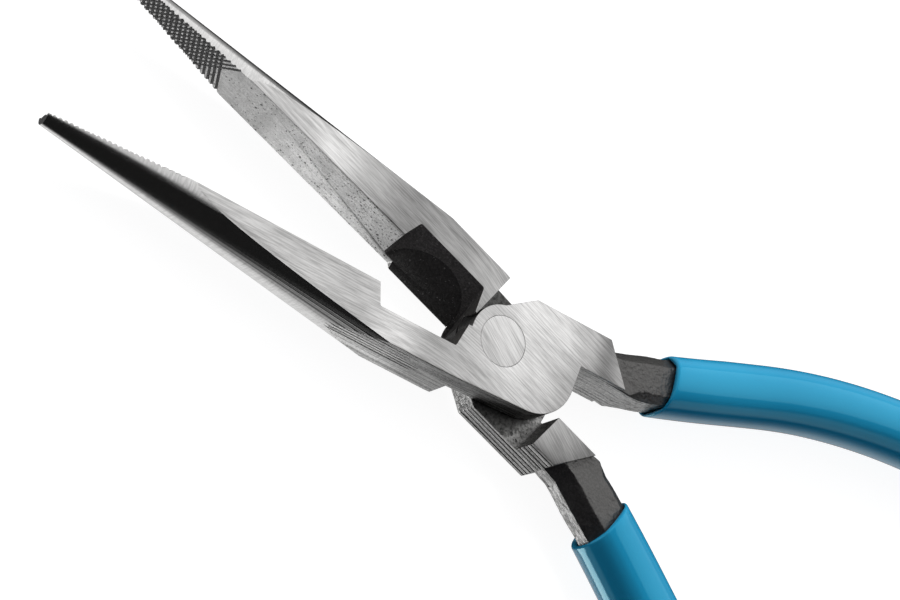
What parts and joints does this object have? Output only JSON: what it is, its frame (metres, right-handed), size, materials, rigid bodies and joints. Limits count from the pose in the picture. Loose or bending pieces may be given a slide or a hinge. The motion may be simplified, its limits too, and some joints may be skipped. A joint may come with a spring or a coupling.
{
  "type": "needle nose pliers",
  "caption": "Needle nose pliers with side cutters: lapped forged levers on a flush rivet, long tapered round-backed jaws and dipped plastic grips.",
  "frame": {"origin": "on the pivot axis, at the rear ground face of the joint", "axes": "+X from the pivot towards the jaw tips, midway between the jaws; +Z along the pivot axis, out of the front face; +Y towards the front lever's jaw"},
  "size_m": [0.1995, 0.094, 0.012],
  "materials": {
    "front_lever_steel": "ground faces, round jaw back polished, tang black forging scale",
    "rear_lever_steel": "ground faces, round jaw back polished, tang black forging scale",
    "rivet_steel": "ground flush with the joint's faces",
    "grip_dip": "glossy dipped vinyl, blue"
  },
  "bodies": {
    "front_half": {"front_lever": "front_lever_steel", "front_grip": "grip_dip", "rivet": "rivet_steel"},
    "rear_half": {"rear_lever": "rear_lever_steel", "rear_grip": "grip_dip"}
  },
  "joints": [
    {"name": "pivot", "type": "hinge", "parent": "front_half", "child": "rear_half", "pos_m": [0, 0, 0.005], "axis": [0, 0, -1], "range_deg": [-19, 33]}
  ]
}
